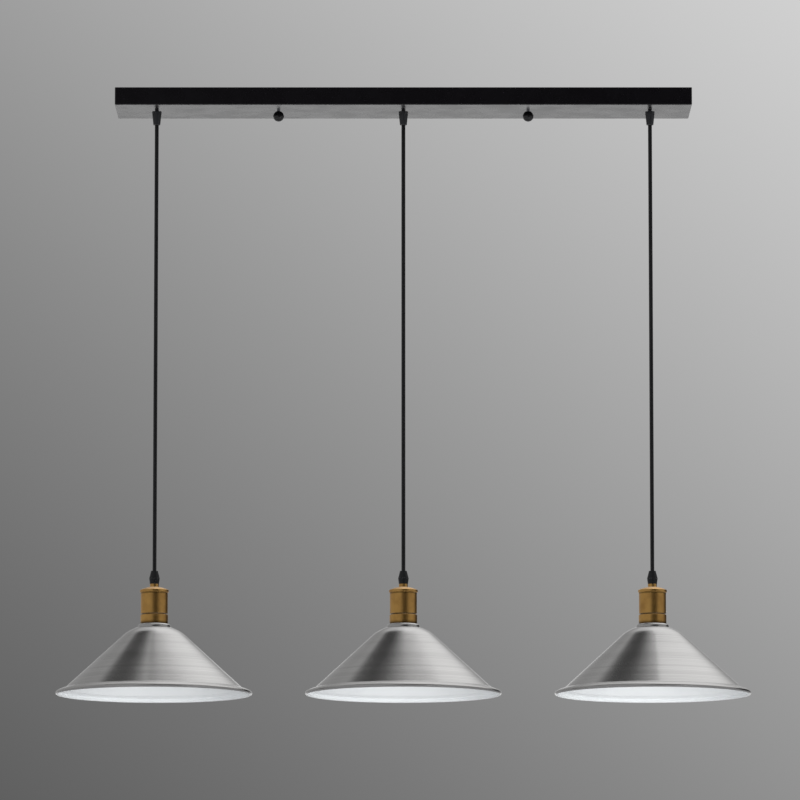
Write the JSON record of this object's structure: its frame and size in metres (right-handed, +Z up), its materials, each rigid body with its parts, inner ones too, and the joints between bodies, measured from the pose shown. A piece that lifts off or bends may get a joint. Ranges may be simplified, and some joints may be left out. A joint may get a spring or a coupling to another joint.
{
  "type": "linear island pendant",
  "caption": "Bar canopy with a row of cone-shaded pendant lamps on round cords, for over a table or kitchen island.",
  "frame": {"origin": "centre of the mounting bracket's upper face, on the ceiling plane", "axes": "+X along the bar, +Z up into the ceiling, the lamps hang towards -Z"},
  "size_m": [0.92, 0.26, 0.806],
  "materials": {
    "canopy_paint": "satin black powder coat",
    "gloss_black_metal": "gloss black",
    "zinc_steel": "zinc plated",
    "black_plastic": "satin moulded nylon",
    "cord_sheath": "smooth flexible PVC",
    "core_insulation": "smooth PVC",
    "earth_insulation": "smooth PVC",
    "aged_brass": "antique brass, satin",
    "bright_brass": "plain brass",
    "porcelain": "white glaze",
    "brushed_shade": "brushed outside, white enamel inside",
    "white_plastic": "moulded polyamide",
    "foam_pad": "adhesive foam"
  },
  "bodies": {
    "canopy": {"canopy_tray": "canopy_paint", "ceiling_bracket": "zinc_steel", "bracket_studs": "zinc_steel", "stud_locknuts": "zinc_steel", "grip_locknuts": "zinc_steel", "tail_cores": "core_insulation", "terminal_block": "white_plastic", "terminal_pad": "foam_pad", "terminal_inserts": "bright_brass", "terminal_screws": "zinc_steel", "earth_post": "zinc_steel", "earth_lead": "earth_insulation", "canopy_grip_body_left": "black_plastic", "cord_tail_left": "cord_sheath", "canopy_grip_body_middle": "black_plastic", "cord_tail_middle": "cord_sheath", "canopy_grip_body_right": "black_plastic", "cord_tail_right": "cord_sheath"},
    "ball_nut_left": {"ball_nut_left": "gloss_black_metal"},
    "ball_nut_right": {"ball_nut_right": "gloss_black_metal"},
    "cord_left": {"cord_left": "cord_sheath"},
    "canopy_grip_nut_left": {"canopy_grip_nut_left": "black_plastic"},
    "holder_grip_nut_left": {"holder_grip_nut_left": "black_plastic"},
    "lamp_left": {"holder_grip_body_left": "black_plastic", "holder_cap_left": "aged_brass", "holder_shell_left": "aged_brass", "holder_skirt_left": "aged_brass", "socket_core_left": "porcelain", "screw_shell_left": "bright_brass", "socket_contacts_left": "bright_brass", "holder_leads_left": "core_insulation", "shade_left": "brushed_shade"},
    "shade_ring_left": {"shade_ring_left": "aged_brass"},
    "cord_middle": {"cord_middle": "cord_sheath"},
    "canopy_grip_nut_middle": {"canopy_grip_nut_middle": "black_plastic"},
    "holder_grip_nut_middle": {"holder_grip_nut_middle": "black_plastic"},
    "lamp_middle": {"holder_grip_body_middle": "black_plastic", "holder_cap_middle": "aged_brass", "holder_shell_middle": "aged_brass", "holder_skirt_middle": "aged_brass", "socket_core_middle": "porcelain", "screw_shell_middle": "bright_brass", "socket_contacts_middle": "bright_brass", "holder_leads_middle": "core_insulation", "shade_middle": "brushed_shade"},
    "shade_ring_middle": {"shade_ring_middle": "aged_brass"},
    "cord_right": {"cord_right": "cord_sheath"},
    "canopy_grip_nut_right": {"canopy_grip_nut_right": "black_plastic"},
    "holder_grip_nut_right": {"holder_grip_nut_right": "black_plastic"},
    "lamp_right": {"holder_grip_body_right": "black_plastic", "holder_cap_right": "aged_brass", "holder_shell_right": "aged_brass", "holder_skirt_right": "aged_brass", "socket_core_right": "porcelain", "screw_shell_right": "bright_brass", "socket_contacts_right": "bright_brass", "holder_leads_right": "core_insulation", "shade_right": "brushed_shade"},
    "shade_ring_right": {"shade_ring_right": "aged_brass"}
  },
  "joints": [
    {"name": "ball_nut_left_turn", "type": "hinge", "parent": "canopy", "child": "ball_nut_left", "pos_m": [-0.167, 0, -0.0298], "axis": [0, 0, -1], "range_deg": [0, 1800]},
    {"name": "ball_nut_right_turn", "type": "hinge", "parent": "canopy", "child": "ball_nut_right", "pos_m": [0.167, 0, -0.0298], "axis": [0, 0, -1], "range_deg": [0, 1800]},
    {"name": "swing_left", "type": "hinge", "parent": "canopy", "child": "cord_left", "pos_m": [-0.33, 0, -0.0394], "axis": [1, 0, 0], "range_deg": [-15, 15]},
    {"name": "tilt_left", "type": "hinge", "parent": "cord_left", "child": "lamp_left", "pos_m": [-0.33, 0, -0.6434], "axis": [0, 1, 0], "range_deg": [-10, 10]},
    {"name": "canopy_grip_nut_left_turn", "type": "hinge", "parent": "canopy", "child": "canopy_grip_nut_left", "pos_m": [-0.33, 0, -0.0337], "axis": [0, 0, 1], "range_deg": [0, 1080]},
    {"name": "holder_grip_nut_left_turn", "type": "hinge", "parent": "lamp_left", "child": "holder_grip_nut_left", "pos_m": [-0.33, 0, -0.6464], "axis": [0, 0, -1], "range_deg": [0, 720]},
    {"name": "shade_ring_left_turn", "type": "hinge", "parent": "lamp_left", "child": "shade_ring_left", "pos_m": [-0.33, 0, -0.7157], "axis": [0, 0, -1], "range_deg": [0, 1080]},
    {"name": "swing_middle", "type": "hinge", "parent": "canopy", "child": "cord_middle", "pos_m": [0, 0, -0.0394], "axis": [1, 0, 0], "range_deg": [-15, 15]},
    {"name": "tilt_middle", "type": "hinge", "parent": "cord_middle", "child": "lamp_middle", "pos_m": [0, 0, -0.6434], "axis": [0, 1, 0], "range_deg": [-10, 10]},
    {"name": "canopy_grip_nut_middle_turn", "type": "hinge", "parent": "canopy", "child": "canopy_grip_nut_middle", "pos_m": [0, 0, -0.0337], "axis": [0, 0, 1], "range_deg": [0, 1080]},
    {"name": "holder_grip_nut_middle_turn", "type": "hinge", "parent": "lamp_middle", "child": "holder_grip_nut_middle", "pos_m": [0, 0, -0.6464], "axis": [0, 0, -1], "range_deg": [0, 720]},
    {"name": "shade_ring_middle_turn", "type": "hinge", "parent": "lamp_middle", "child": "shade_ring_middle", "pos_m": [0, 0, -0.7157], "axis": [0, 0, -1], "range_deg": [0, 1080]},
    {"name": "swing_right", "type": "hinge", "parent": "canopy", "child": "cord_right", "pos_m": [0.33, 0, -0.0394], "axis": [1, 0, 0], "range_deg": [-15, 15]},
    {"name": "tilt_right", "type": "hinge", "parent": "cord_right", "child": "lamp_right", "pos_m": [0.33, 0, -0.6434], "axis": [0, 1, 0], "range_deg": [-10, 10]},
    {"name": "canopy_grip_nut_right_turn", "type": "hinge", "parent": "canopy", "child": "canopy_grip_nut_right", "pos_m": [0.33, 0, -0.0337], "axis": [0, 0, 1], "range_deg": [0, 1080]},
    {"name": "holder_grip_nut_right_turn", "type": "hinge", "parent": "lamp_right", "child": "holder_grip_nut_right", "pos_m": [0.33, 0, -0.6464], "axis": [0, 0, -1], "range_deg": [0, 720]},
    {"name": "shade_ring_right_turn", "type": "hinge", "parent": "lamp_right", "child": "shade_ring_right", "pos_m": [0.33, 0, -0.7157], "axis": [0, 0, -1], "range_deg": [0, 1080]}
  ]
}
